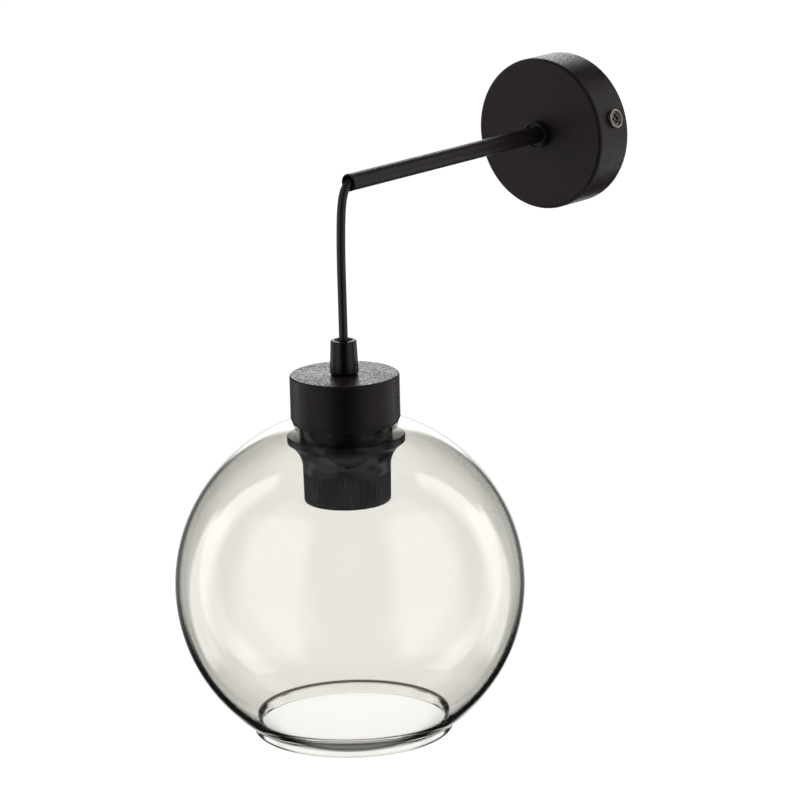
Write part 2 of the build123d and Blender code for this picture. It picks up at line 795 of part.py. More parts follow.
# Cores from the cord's cut end down into the screw terminals
for name, side in (("brown_core_lamp", 1), ("blue_core_lamp", -1)):
    top = lamp_jacket_end - crown_drop
    foot = insert_high + core_end - crown_drop
    core_points = [
        (side * core_spacing / 2, -lamp_out, top),
        (side * core_spacing / 2, -lamp_out, top - core_drop),
        (side * terminal_x, -lamp_out, foot + core_rise),
        (side * terminal_x, -lamp_out, foot),
    ]
    save(name, round_cable(name, core_points, core_d))

# Glass globe: a ball with a hole at the top and a short lip round its open bottom
globe_r = globe_d / 2
globe_in = globe_r - glass_t
hole_r = glass_hole_d / 2
lip_r = lip_d / 2
lip_in = lip_r - glass_t
ball_middle = (0, -globe_r)
lip_low = -globe_r - sqrt(globe_r**2 - lip_r**2) - lip_length
with BuildPart() as glass_globe:
    with BuildSketch(lamp_section) as wall_profile:
        with BuildLine():
            out_top = degrees(acos(hole_r / globe_r))
            out_low = -degrees(acos(lip_r / globe_r))
            in_top = degrees(acos(hole_r / globe_in))
            in_low = -degrees(acos(lip_in / globe_in))
            outer_arc = CenterArc(ball_middle, globe_r, out_low, out_top - out_low)
            inner_arc = CenterArc(ball_middle, globe_in, in_low, in_top - in_low)
            Line(outer_arc @ 1, inner_arc @ 1)
            Polyline(outer_arc @ 0, (lip_r, lip_low), (lip_in, lip_low), inner_arc @ 0)
        make_face()
        fillet(wall_profile.vertices().group_by(Axis.Y)[0], radius=lip_edge_r)
    revolve(axis=lamp_axis)
save("glass_globe", glass_globe)


def sphere_height(radius, r):
    """Height on a sphere about the globe's middle, at a distance r from the lamp's axis."""
    return sqrt(radius**2 - r**2) - globe_r


# Gasket between the cap's rim and the glass, with a lip inside the cap
gasket_out = upper_gasket_d / 2
gasket_in = upper_gasket_bore_d / 2
bed = globe_r + rest_gap
with BuildPart() as upper_gasket:
    with BuildSketch(lamp_section):
        with BuildLine():
            low_out = (gasket_out, sphere_height(bed, gasket_out))
            low_in = (gasket_in, sphere_height(bed, gasket_in))
            low_mid_r = (gasket_out + gasket_in) / 2
            ThreePointArc(low_out, (low_mid_r, sphere_height(bed, low_mid_r)), low_in)
            Polyline(
                low_in,
                (gasket_in, cap_low + upper_gasket_lip),
                (cap_r - cap_wall - thread_gap, cap_low + upper_gasket_lip),
                (cap_r - cap_wall - thread_gap, cap_low),
                (gasket_out, cap_low),
                low_out,
            )
        make_face()
    revolve(axis=lamp_axis)
save("upper_gasket", upper_gasket)

# Gasket between the glass and the collar of the shade ring
low_gasket_out = lower_gasket_d / 2
low_gasket_in = lower_gasket_bore_d / 2
roof = globe_in - rest_gap
gasket_seat = sphere_height(roof, low_gasket_out) - lower_gasket_t
with BuildPart() as lower_gasket:
    with BuildSketch(lamp_section):
        with BuildLine():
            high_out = (low_gasket_out, sphere_height(roof, low_gasket_out))
            high_in = (low_gasket_in, sphere_height(roof, low_gasket_in))
            high_mid_r = (low_gasket_out + low_gasket_in) / 2
            ThreePointArc(high_out, (high_mid_r, sphere_height(roof, high_mid_r)), high_in)
            Polyline(high_in, (low_gasket_in, gasket_seat), (low_gasket_out, gasket_seat), high_out)
        make_face()
    revolve(axis=lamp_axis)
save("lower_gasket", lower_gasket)

# Shade ring: a flange under the glass, a flared neck and a long body round the lampholder
flange_r = flange_d / 2
ring_r = ring_d / 2
ring_low_r = ring_low_d / 2
collar_high = gasket_seat - rest_gap
with BuildPart() as shade_ring:
    with BuildSketch(lamp_section) as ring_profile:
        with BuildLine():
            waist = (ring_r, ring_waist)
            foot_line = Line((ring_low_r, ring_low), waist)
            flare = TangentArc(waist, (flange_r, flange_low), tangent=(0, 1))
            Polyline(
                flare @ 1,
                (flange_r, flange_high),
                (ring_collar_d / 2, flange_high),
                (ring_collar_d / 2, collar_high),
                (skirt_r + slide_gap, collar_high),
                (skirt_r + slide_gap, ring_thread_low),
                (ring_low_r - ring_wall, ring_thread_low - ring_step_t),
                (ring_low_r - ring_wall, ring_low),
                (ring_low_r, ring_low),
            )
        make_face()
        foot = ring_profile.vertices().group_by(Axis.Y)[0]
        fillet(foot.sort_by(Axis.X)[-1], radius=ring_edge_r)
        fillet(ring_profile.vertices().group_by(Axis.X)[-1], radius=flange_edge_r)
    revolve(axis=lamp_axis)
save("shade_ring", shade_ring)
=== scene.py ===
import json
from math import cos, pi, radians, sin

import bmesh
import bpy
import numpy as np
from mathutils import Matrix, Vector


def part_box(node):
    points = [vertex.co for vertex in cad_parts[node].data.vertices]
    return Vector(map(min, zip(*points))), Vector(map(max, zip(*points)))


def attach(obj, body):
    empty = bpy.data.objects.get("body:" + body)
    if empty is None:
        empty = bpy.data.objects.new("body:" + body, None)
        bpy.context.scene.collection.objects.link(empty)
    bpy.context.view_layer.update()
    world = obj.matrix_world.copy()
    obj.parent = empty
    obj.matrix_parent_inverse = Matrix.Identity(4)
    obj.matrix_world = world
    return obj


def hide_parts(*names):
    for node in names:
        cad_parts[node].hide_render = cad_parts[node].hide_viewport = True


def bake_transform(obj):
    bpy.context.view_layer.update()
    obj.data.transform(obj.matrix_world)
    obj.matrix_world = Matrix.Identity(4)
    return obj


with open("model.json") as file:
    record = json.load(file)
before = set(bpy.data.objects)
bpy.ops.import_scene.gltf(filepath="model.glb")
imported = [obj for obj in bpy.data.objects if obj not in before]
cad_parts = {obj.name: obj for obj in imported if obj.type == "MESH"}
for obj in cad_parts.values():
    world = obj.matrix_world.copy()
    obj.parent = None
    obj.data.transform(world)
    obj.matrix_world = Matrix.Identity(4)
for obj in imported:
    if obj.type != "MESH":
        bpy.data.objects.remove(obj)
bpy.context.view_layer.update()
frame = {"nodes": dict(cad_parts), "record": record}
nodes = frame["nodes"]
scene = bpy.context.scene

# A wall light: straight arm from a round canopy, and a smoked glass ball hung from it on a short cord.
# Metres throughout. The wall is the plane y = 0, the arm reaches out along -Y, +Z is up.

# Places and sizes, read from the frame where a part gives them
glass_low, glass_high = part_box("glass_globe")
lamp_y = (glass_low.y + glass_high.y) / 2
ball_r = (glass_high.x - glass_low.x) / 2
lip_length = 0.004
lip_r = 0.0573
glass_wall = 0.0025
glass_hole_r = 0.0215
ball_z = glass_low.z + lip_length + (ball_r**2 - lip_r**2) ** 0.5
crown_z = ball_z + ball_r
screw_turn = radians(14.0)
screw_out = 0.0114  # from the wall to the axis of the canopy's side screws


# Camera, at the photograph's viewing angle, for a square picture
def make_camera():
    """The camera stands back from its aim by view_distance, and is turned a little about its own line of sight."""
    azimuth, elevation, roll = radians(39.548), radians(14.399), radians(-1.381)
    view_distance = 2.179
    aim = Vector((-0.00358, -0.15804, -0.13527))
    back = Vector((sin(azimuth) * cos(elevation), -cos(azimuth) * cos(elevation), sin(elevation)))
    level = Vector((cos(azimuth), sin(azimuth), 0))
    upright = back.cross(level)
    right = level * cos(roll) + upright * sin(roll)
    up = upright * cos(roll) - level * sin(roll)
    data = bpy.data.cameras.new("camera")
    data.sensor_fit = "HORIZONTAL"
    data.sensor_width = 36.0
    data.lens = 170.19
    camera = bpy.data.objects.new("camera", data)
    turn = Matrix((right, up, back)).transposed().to_4x4()
    camera.matrix_world = Matrix.Translation(aim + back * view_distance) @ turn
    scene.collection.objects.link(camera)
    scene.camera = camera


make_camera()


# Meshes
def surface(name, grid, closed_rows=False, closed_columns=False):
    """Mesh through a grid of points: neighbours along rows and columns are joined by four-sided faces."""
    rows, columns = grid.shape[:2]
    index = np.arange(rows * columns).reshape(rows, columns)
    if closed_rows:
        index = np.vstack([index, index[:1]])
    if closed_columns:
        index = np.hstack([index, index[:, :1]])
    faces = np.stack([index[:-1, :-1], index[1:, :-1], index[1:, 1:], index[:-1, 1:]], -1)
    mesh = bpy.data.meshes.new(name)
    mesh.from_pydata(grid.reshape(-1, 3).tolist(), [], faces.reshape(-1, 4).tolist())
    return mesh


def piece(name, mesh, body, slot, crease=35.0):
    """Finished object at the origin in its slot's finish: doubles merged, faces outwards, smooth up to the crease."""
    tidy = bmesh.new()
    tidy.from_mesh(mesh)
    bmesh.ops.remove_doubles(tidy, verts=tidy.verts, dist=1e-7)
    bmesh.ops.recalc_face_normals(tidy, faces=tidy.faces)
    tidy.to_mesh(mesh)
    tidy.free()
    mesh.shade_smooth()
    mesh.set_sharp_from_angle(angle=radians(crease))
    mesh.materials.append(finishes[slot])
    thing = bpy.data.objects.new(name, mesh)
    scene.collection.objects.link(thing)
    if body:
        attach(thing, body)
    return thing


def rounded(corners, steps=8):
    """Closed outline through corners (across, up, radius): each is an arc tangent to both its sides."""
    spots = np.array([corner[:2] for corner in corners], float)
    outline = []
    for before, spot, after, corner in zip(np.roll(spots, 1, 0), spots, np.roll(spots, -1, 0), corners):
        to_before = (before - spot) / np.linalg.norm(before - spot)
        to_after = (after - spot) / np.linalg.norm(after - spot)
        radius = corner[2]
        if radius == 0:
            outline.append(spot[None])
            continue
        half = np.arccos(np.clip(to_before @ to_after, -1, 1)) / 2
        middle = spot + (to_before + to_after) / np.linalg.norm(to_before + to_after) * radius / np.sin(half)
        start = spot + to_before * radius / np.tan(half) - middle
        end = spot + to_after * radius / np.tan(half) - middle
        turn = np.arctan2(start[0] * end[1] - start[1] * end[0], start @ end)
        angles = np.arctan2(start[1], start[0]) + turn * np.linspace(0, 1, steps)
        arc = middle + radius * np.stack([np.cos(angles), np.sin(angles)], -1)
        lead = 0.2 * radius
        outline.append(np.vstack([arc[:1] + to_before * lead, arc, arc[-1:] + to_after * lead]))
    return np.vstack(outline)


def turned(profile, origin, axis="z", steps=128):
    """Profile (radius, height) spun about an axis: radius times cosine and sine of the turn, beside the height."""
    turn = np.linspace(0, 2 * pi, steps, endpoint=False)
    across = profile[:, None, 0] * np.cos(turn)
    aside = profile[:, None, 0] * np.sin(turn)
    height = np.broadcast_to(profile[:, None, 1], across.shape)
    order = (across, aside, height) if axis == "z" else (across, -height, aside)
    return np.stack(order, -1) + np.array(origin)


# Shader building
def new_material(name):
    """Empty node material with its output, and the shader that feeds it."""
    material = bpy.data.materials.new(name)
    material.use_nodes = True
    tree = material.node_tree
    tree.nodes.clear()
    shader = tree.nodes.new("ShaderNodeBsdfPrincipled")
    output = tree.nodes.new("ShaderNodeOutputMaterial")
    tree.links.new(shader.outputs["BSDF"], output.inputs["Surface"])
    return material, tree, shader


def ramp(tree, value, low, high, to_low=0.0, to_high=1.0):
    """Smooth step of a value: to_low at low, to_high at high."""
    step = tree.nodes.new("ShaderNodeMapRange")
    step.interpolation_type = "SMOOTHSTEP"
    step.inputs["From Min"].default_value = low
    step.inputs["From Max"].default_value = high
    step.inputs["To Min"].default_value = to_low
    step.inputs["To Max"].default_value = to_high
    tree.links.new(value, step.inputs["Value"])
    return step.outputs["Result"]


def mixed(tree, factor, first, second):
    """First shader where the factor is 0, second where it is 1."""
    mix = tree.nodes.new("ShaderNodeMixShader")
    tree.links.new(factor, mix.inputs["Fac"])
    tree.links.new(first, mix.inputs[1])
    tree.links.new(second, mix.inputs[2])
    return mix.outputs[0]


def total(tree, first, second):
    """Sum of two values."""
    plus = tree.nodes.new("ShaderNodeMath")
    plus.operation = "ADD"
    tree.links.new(first, plus.inputs[0])
    tree.links.new(second, plus.inputs[1])
    return plus.outputs[0]


def product(tree, first, second):
    """Product of two values."""
    times = tree.nodes.new("ShaderNodeMath")
    times.operation = "MULTIPLY"
    tree.links.new(first, times.inputs[0])
    tree.links.new(second, times.inputs[1])
    return times.outputs[0]


def grain_group():
    """Fine grain: a fractal noise in metres, put out as a height, a colour value and a roughness value."""
    group = bpy.data.node_groups.new("fine_grain", "ShaderNodeTree")
    socket = group.interface.new_socket
    for name, value in (("Vector", None), ("Size", 0.001), ("Value", 1.0), ("Value Spread", 0.1),
                        ("Roughness", 0.5), ("Roughness Spread", 0.1)):
        kind = "NodeSocketVector" if value is None else "NodeSocketFloat"
        made = socket(name=name, in_out="INPUT", socket_type=kind)
        if value is not None:
            made.default_value = value
    for name in ("Height", "Value", "Roughness"):
        socket(name=name, in_out="OUTPUT", socket_type="NodeSocketFloat")
    add, link = group.nodes.new, group.links.new
    entry, leave = add("NodeGroupInput"), add("NodeGroupOutput")
    scale = add("ShaderNodeMath")
    scale.operation = "DIVIDE"
    scale.inputs[0].default_value = 1.0
    link(entry.outputs["Size"], scale.inputs[1])
    noise = add("ShaderNodeTexNoise")
    noise.inputs["Detail"].default_value = 3.0
    noise.inputs["Roughness"].default_value = 0.6
    link(entry.outputs["Vector"], noise.inputs["Vector"])
    link(scale.outputs[0], noise.inputs["Scale"])
    link(noise.outputs["Fac"], leave.inputs["Height"])
    cloud = add("ShaderNodeTexNoise")
    cloud.inputs["Scale"].default_value = 45.0
    cloud.inputs["Detail"].default_value = 4.0
    link(entry.outputs["Vector"], cloud.inputs["Vector"])
    centred = add("ShaderNodeMath")
    centred.operation = "ADD"
    link(noise.outputs["Fac"], centred.inputs[0])
    link(cloud.outputs["Fac"], centred.inputs[1])
    for out, spread in (("Value", "Value Spread"), ("Roughness", "Roughness Spread")):
        around = add("ShaderNodeMath")
        around.operation = "SUBTRACT"
        link(centred.outputs[0], around.inputs[0])
        around.inputs[1].default_value = 1.0
        scaled = add("ShaderNodeMath")
        scaled.operation = "MULTIPLY_ADD"
        link(around.outputs[0], scaled.inputs[0])
        link(entry.outputs[spread], scaled.inputs[1])
        link(entry.outputs[out], scaled.inputs[2])
        link(scaled.outputs[0], leave.inputs[out])
    return group


fine_grain = grain_group()


def solid_finish(name, colour, roughness, grain_size, bump, value_spread, roughness_spread, metallic=0.0,
                 sparkle=0.0, specular=0.5):
    """Opaque finish: the colour and roughness drift a little with the fine grain, which also lifts the surface.

    Where there is sparkle, a clear coat lies on the tops of coarser grains, and shows at a low angle.
    """
    material, tree, shader = new_material(name)
    place = tree.nodes.new("ShaderNodeTexCoord")
    grain = tree.nodes.new("ShaderNodeGroup")
    grain.node_tree = fine_grain
    grain.inputs["Size"].default_value = grain_size
    grain.inputs["Value"].default_value = 1.0
    grain.inputs["Value Spread"].default_value = value_spread
    grain.inputs["Roughness"].default_value = roughness
    grain.inputs["Roughness Spread"].default_value = roughness_spread
    tree.links.new(place.outputs["Object"], grain.inputs["Vector"])
    tint = tree.nodes.new("ShaderNodeMix")
    tint.data_type = "RGBA"
    tint.blend_type = "MULTIPLY"
    tint.inputs["Factor"].default_value = 1.0
    tint.inputs[6].default_value = (*colour, 1.0)
    tree.links.new(grain.outputs["Value"], tint.inputs[7])
    tree.links.new(tint.outputs[2], shader.inputs["Base Color"])
    tree.links.new(grain.outputs["Roughness"], shader.inputs["Roughness"])
    lift = tree.nodes.new("ShaderNodeBump")
    lift.inputs["Strength"].default_value = 1.0
    lift.inputs["Distance"].default_value = bump
    tree.links.new(grain.outputs["Height"], lift.inputs["Height"])
    tree.links.new(lift.outputs["Normal"], shader.inputs["Normal"])
    shader.inputs["Metallic"].default_value = metallic
    if sparkle:
        grains_per_metre = 800.0
        tops = tree.nodes.new("ShaderNodeTexNoise")
        tops.inputs["Scale"].default_value = grains_per_metre
        tops.inputs["Detail"].default_value = 1.0
        tree.links.new(place.outputs["Object"], tops.inputs["Vector"])
        turned_off = tree.nodes.new("ShaderNodeLayerWeight")
        turned_off.inputs["Blend"].default_value = 0.5
        low_angle = ramp(tree, turned_off.outputs["Facing"], 0.42, 0.72, 0.0, sparkle)
        high_grains = ramp(tree, tops.outputs["Fac"], 0.44, 0.66)
        tree.links.new(product(tree, high_grains, low_angle), shader.inputs["Coat Weight"])
        shader.inputs["Coat Roughness"].default_value = 0.18
    shader.inputs["Specular IOR Level"].default_value = specular
    return material


def painted_dish_shade(material):
    """Painted shade: the nickel darkens inside a screw's rim, in its dished recess: distance from the screws' common
    axis, across the canopy.
    """
    rim_inner_r = 0.0049
    tree = material.node_tree
    shader = tree.nodes["Principled BSDF"]
    colour = shader.inputs["Base Color"].links[0].from_socket
    place = tree.nodes.new("ShaderNodeTexCoord")
    turn = tree.nodes.new("ShaderNodeVectorRotate")
    turn.rotation_type = "Y_AXIS"
    turn.inputs["Angle"].default_value = screw_turn
    tree.links.new(place.outputs["Object"], turn.inputs["Vector"])
    flat = tree.nodes.new("ShaderNodeVectorMath")
    flat.operation = "MULTIPLY"
    flat.inputs[1].default_value = (0, 1, 1)
    tree.links.new(turn.outputs[0], flat.inputs[0])
    away = tree.nodes.new("ShaderNodeVectorMath")
    away.operation = "DISTANCE"
    away.inputs[1].default_value = (0, -screw_out, 0)
    tree.links.new(flat.outputs[0], away.inputs[0])
    shade = tree.nodes.new("ShaderNodeMix")
    shade.data_type = "RGBA"
    # Painted shade colour for the dish, mixed in inside the rim
    shade.inputs[7].default_value = (0.15, 0.135, 0.115, 1)
    inside = ramp(tree, away.outputs["Value"], rim_inner_r + 0.0002, rim_inner_r - 0.0003)
    tree.links.new(inside, shade.inputs["Factor"])
    tree.links.new(colour, shade.inputs[6])
    tree.links.new(shade.outputs[2], shader.inputs["Base Color"])


def painted_ring_reflections_and_shade(material):
    """Painted reflections and painted shade on the upper ring: one painted brightness for each cell of a cell
    pattern, standing in for broken reflections, and painted shade darkest at the top.

    It fades in above the ribs, between ribs_end and flare, and the painted shade darkens it from under the flange to
    its top.
    """
    cells_per_metre = 95.0
    ribs_end, flare = crown_z - 0.0300, crown_z - 0.0265
    under_flange, flange_top = crown_z - 0.0165, crown_z - 0.0120
    tree = material.node_tree
    shader = tree.nodes["Principled BSDF"]
    colour = shader.inputs["Base Color"].links[0].from_socket
    place = tree.nodes.new("ShaderNodeTexCoord")
    parts = tree.nodes.new("ShaderNodeSeparateXYZ")
    tree.links.new(place.outputs["Object"], parts.inputs[0])
    cells = tree.nodes.new("ShaderNodeTexVoronoi")
    cells.inputs["Scale"].default_value = cells_per_metre
    tree.links.new(place.outputs["Object"], cells.inputs["Vector"])
    shades = tree.nodes.new("ShaderNodeSeparateColor")
    tree.links.new(cells.outputs["Color"], shades.inputs[0])
    # Painted reflections: each cell multiplies the colour by 0.2 to 3.6
    shade = ramp(tree, shades.outputs["Red"], 0.35, 0.85, 0.2, 3.6)
    # Painted shade: the colour falls to a fifth from under the flange to its top
    painted_top_shade = ramp(tree, parts.outputs["Z"], under_flange, flange_top, 1.0, 0.2)
    upper = ramp(tree, parts.outputs["Z"], ribs_end, flare)
    broken = tree.nodes.new("ShaderNodeMix")
    broken.data_type = "RGBA"
    broken.blend_type = "MULTIPLY"
    tree.links.new(upper, broken.inputs["Factor"])
    tree.links.new(colour, broken.inputs[6])
    tree.links.new(product(tree, shade, painted_top_shade), broken.inputs[7])
    tree.links.new(broken.outputs[2], shader.inputs["Base Color"])


def smoked_glass():
    """Clear glass with a weak olive smoke in its wall, and painted shade: a dark ring where the wall turns into the
    lip.

    The low shoulder has a painted dark reflection seen edge on: a ramp over how far the surface turns from the ray,
    moved on with depth.
    Depths are measured down from the ball's middle.
    """
    material, tree, shader = new_material("smoked_glass")
    add, link = tree.nodes.new, tree.links.new
    shader.inputs["Roughness"].default_value = 0.0
    shader.inputs["IOR"].default_value = 1.5
    shader.inputs["Transmission Weight"].default_value = 1.0
    place = add("ShaderNodeTexCoord")
    parts = add("ShaderNodeSeparateXYZ")
    link(place.outputs["Object"], parts.inputs[0])

    def at_depth(start, end, *levels):
        """Smooth step of the depth below the ball's middle."""
        return ramp(tree, parts.outputs["Z"], ball_z - start, ball_z - end, *levels)

    # Painted dark reflection: where the low shoulder is seen edge on, the base colour turns near black
    turned_off = add("ShaderNodeLayerWeight")
    turned_off.inputs["Blend"].default_value = 0.5
    from_middle = add("ShaderNodeVectorMath")
    from_middle.operation = "DISTANCE"
    link(place.outputs["Object"], from_middle.inputs[0])
    from_middle.inputs[1].default_value = (0, lamp_y, ball_z)
    outside = ramp(tree, from_middle.outputs["Value"], ball_r - 0.0016, ball_r - 0.0008)
    low = at_depth(0.010, 0.060, 0.0, 0.12)
    lower = at_depth(0.060, 0.080, 0.0, 0.11)
    moved_on = total(tree, turned_off.outputs["Facing"], product(tree, outside, total(tree, low, lower)))
    band = product(tree, ramp(tree, moved_on, 0.78, 0.86), ramp(tree, moved_on, 1.0, 0.94))
    painted_edge_darkness = product(tree, band, at_depth(0.012, 0.040))
    from_axis = add("ShaderNodeVectorMath")
    from_axis.operation = "DISTANCE"
    flat = add("ShaderNodeCombineXYZ")
    link(parts.outputs["X"], flat.inputs["X"])
    link(parts.outputs["Y"], flat.inputs["Y"])
    link(flat.outputs[0], from_axis.inputs[0])
    from_axis.inputs[1].default_value = (0, lamp_y, 0)
    inside = ramp(tree, from_axis.outputs["Value"], lip_r - 0.0005, lip_r - 0.0011)
    # Painted shade: a narrow dark ring in the base colour where the wall turns into the lip
    painted_fold_ring = product(tree, at_depth(0.0776, 0.0782), at_depth(0.0798, 0.0788))
    painted_edge_tint = add("ShaderNodeMix")
    painted_edge_tint.data_type = "RGBA"
    painted_edge_tint.inputs[6].default_value = (1, 0.995, 0.963, 1)
    painted_edge_tint.inputs[7].default_value = (0.012, 0.010, 0.007, 1)
    link(painted_edge_darkness, painted_edge_tint.inputs["Factor"])
    tint = add("ShaderNodeMix")
    tint.data_type = "RGBA"
    link(painted_edge_tint.outputs[2], tint.inputs[6])
    tint.inputs[7].default_value = (0.015, 0.013, 0.010, 1)
    link(product(tree, inside, painted_fold_ring), tint.inputs["Factor"])
    link(tint.outputs[2], shader.inputs["Base Color"])
    smoke = add("ShaderNodeVolumeAbsorption")
    smoke.inputs["Color"].default_value = (0.60, 0.575, 0.50, 1)
    smoke.inputs["Density"].default_value = 50.0
    link(smoke.outputs["Volume"], tree.nodes["Material Output"].inputs["Volume"])
    return material


# Name, colour, roughness, grain size, bump height, spread of colour and of roughness, metallic, sparkle, specular
solid_finishes = (
    ("powder_coat", (0.0165, 0.0120, 0.0110), 0.4, 0.0010, 0.00018, 0.4, 0.3, 0.0, 0.7, 0.25),
    ("black_plastic", (0.010, 0.0095, 0.009), 0.3, 0.0006, 0.000008, 0.2, 0.12, 0.0, 0.0, 0.35),
    ("ring_plastic", (0.017, 0.018, 0.022), 0.36, 0.0005, 0.00001, 0.2, 0.15),
    ("cord_jacket", (0.018, 0.016, 0.016), 0.42, 0.0008, 0.00001, 0.25, 0.15),
    ("nickel", (0.58, 0.55, 0.50), 0.3, 0.0004, 0.000002, 0.08, 0.15, 1.0),
    ("zinc_steel", (0.58, 0.59, 0.6), 0.32, 0.0007, 0.000004, 0.12, 0.2, 1.0),
    ("brass", (0.72, 0.55, 0.25), 0.28, 0.0006, 0.000003, 0.12, 0.2, 1.0),
    ("white_plastic", (0.8, 0.79, 0.75), 0.4, 0.0008, 0.000006, 0.04, 0.1),
    ("brown_insulation", (0.13, 0.045, 0.02), 0.35, 0.0006, 0.000004, 0.1, 0.1),
    ("blue_insulation", (0.03, 0.1, 0.38), 0.35, 0.0006, 0.000004, 0.1, 0.1),
    ("gasket_rubber", (0.008, 0.008, 0.008), 0.6, 0.0005, 0.00001, 0.2, 0.1),
)
finishes = {values[0]: solid_finish(*values) for values in solid_finishes}
finishes["smoked_glass"] = smoked_glass()
painted_dish_shade(finishes["nickel"])
painted_ring_reflections_and_shade(finishes["ring_plastic"])
for subpart in frame["record"]["subparts"]:
    node = nodes[subpart["node"]]
    node.data.materials.clear()
    node.data.materials.append(finishes[subpart["material_slot"]])


# Free cord, from inside the arm's mouth over its lip and straight down into the cord grip
def free_cord():
    """Round tube along a smooth curve: each ring stands square to the curve, at the cord's radius."""
    cord_d = 0.005
    grip_throat_z = -0.093
    route = [
        (0, -0.197, 0),
        (0, -0.2021, 0),
        (0, -0.2064, -0.0031),
        (0, -0.2089, -0.0092),
        (0, -0.2104, -0.0202),
        (0, -0.2112, -0.0420),
        (0, -0.211, -0.068),
        (0, -0.211, grip_throat_z),
    ]
    curve = bpy.data.curves.new("cord_line", "CURVE")
    curve.dimensions = "3D"
    curve.resolution_u = 24
    spline = curve.splines.new("NURBS")
    spline.points.add(len(route) - 1)
    for point, spot in zip(spline.points, route):
        point.co = (*spot, 1.0)
    spline.order_u = 3
    spline.use_endpoint_u = True
    line = bpy.data.objects.new("cord_line", curve)
    bare = bpy.data.meshes.new_from_object(line)
    path = np.array([v.co[:] for v in bare.vertices])
    bpy.data.objects.remove(line)
    bpy.data.meshes.remove(bare)
    ahead = np.gradient(path, axis=0)
    ahead /= np.linalg.norm(ahead, axis=1)[:, None]
    aside = np.array([1.0, 0.0, 0.0])
    upward = np.cross(ahead, aside)
    turn = np.linspace(0, 2 * pi, 40, endpoint=False)
    ring = np.cos(turn)[None, :, None] * aside + np.sin(turn)[None, :, None] * upward[:, None]
    across = np.linspace(0, 1, len(path))
    reach = np.where((across == 0) | (across == 1), 0.0, 1.0)
    grid = path[:, None] + ring * reach[:, None, None] * cord_d / 2
    grid = np.insert(grid, [1, len(path) - 1], path[[0, -1], None] + ring[[0, -1]] * cord_d / 2, axis=0)
    mesh = surface("pendant_cord_flex", grid, closed_columns=True)
    tube = piece("pendant_cord_flex", mesh, None, "cord_jacket")
    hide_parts("pendant_cord")
    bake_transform(tube)


free_cord()


# Glass ball
def glass_ball():
    """Shell of revolution: two arcs about the ball's middle, a hole with rounded edges on top, a short lip below.

    The wall is even down to 45 degrees below the middle, and thickens from there evenly with the angle to the lip.
    """
    arc_steps = 170
    thicker = 0.0016
    thicker_from, thicker_over = radians(45), radians(9)
    lip_in = 0.0528
    last_angle = -0.945
    angle = np.linspace(np.arccos(glass_hole_r / (ball_r - glass_wall)), last_angle, arc_steps)
    share = np.clip((-angle - thicker_from) / thicker_over, 0, 1)
    inner_r = ball_r - glass_wall - thicker * share
    inner_arc = np.stack([np.cos(angle), np.sin(angle)], -1) * inner_r[:, None]
    outer = np.linspace(-np.arccos(lip_r / ball_r), np.arccos(glass_hole_r / ball_r), arc_steps)
    outer_arc = np.stack([np.cos(outer), np.sin(outer)], -1) * ball_r
    foot = glass_low.z - ball_z
    last_r = ball_r - glass_wall - thicker
    corner_z = -((last_r**2 - lip_in**2) ** 0.5)
    neck = rounded([(*inner_arc[-1], 0), (lip_in, corner_z, 0.0022), (lip_in + 0.0008, foot, 0.0018),
                    (lip_r, foot, 0.0014), (lip_r, outer_arc[0, 1], 0)], steps=12)
    profile = np.vstack([outer_arc, inner_arc[:-1], neck[:-1]])
    mesh = surface("glass_ball", turned(profile, (0, lamp_y, ball_z), steps=256), True, True)
    ball = piece("glass_ball", mesh, "glass", "smoked_glass", crease=50.0)
    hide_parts("glass_globe")


glass_ball()


# Shade ring
def shade_ring():
    """Profile spun about the lamp's axis; on the lower body the radius dips by a cosine of the turn, once per rib."""
    ribs = 112
    rib_depth = 0.00035
    flange_r, waist_r, foot_r, wall = 0.0332, 0.0249, 0.0246, 0.0023
    collar_r, collar_high, bore_r, thread_low = 0.026, -0.0029, 0.02015, -0.024
    flange_low, flange_high, waist, foot = -0.0167, -0.0127, -0.031, -0.0508
    fall = waist - flange_low
    reach = flange_r - waist_r
    bend_r = (reach**2 + fall**2) / (2 * reach)
    sweep = np.linspace(0, np.arcsin(-fall / bend_r), 26)
    flare = np.stack([waist_r + bend_r * (1 - np.cos(sweep)), waist + bend_r * np.sin(sweep)], -1)
    body = np.stack([np.linspace(foot_r, waist_r, 26), np.linspace(foot + 0.0014, waist, 26)], -1)
    top = rounded([(*flare[-2], 0), (flange_r, flange_low, 0.0004), (flange_r, flange_high, 0.0008),
                   (collar_r, flange_high, 0.0003), (collar_r, collar_high, 0.0003), (bore_r, collar_high, 0.0003),
                   (bore_r, thread_low, 0.0002), (foot_r - wall, thread_low - 0.002, 0.0002),
                   (foot_r - wall, foot, 0.0006), (foot_r, foot, 0.0012), (*body[0], 0)], steps=5)
    profile = np.vstack([body[:-1], flare[:-2], top[:-1]])
    grid = turned(profile, (0, 0, 0), steps=ribs * 7)
    turn = np.arange(ribs * 7) / 7 * 2 * pi
    height = profile[:, 1]
    on_body = np.clip((height - foot - 0.0016) / 0.0008, 0, 1) * np.clip((waist - 0.001 - height) / 0.0015, 0, 1)
    on_body *= profile[:, 0] > foot_r - wall / 2
    grid[..., :2] *= 1 - rib_depth / foot_r * on_body[:, None, None] * (0.5 - 0.5 * np.cos(turn))[None, :, None]
    grid += np.array([0, lamp_y, crown_z])
    ring = piece("ribbed_ring", surface("ribbed_ring", grid, True, True), "ring", "ring_plastic", crease=40.0)
    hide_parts("shade_ring")


shade_ring()


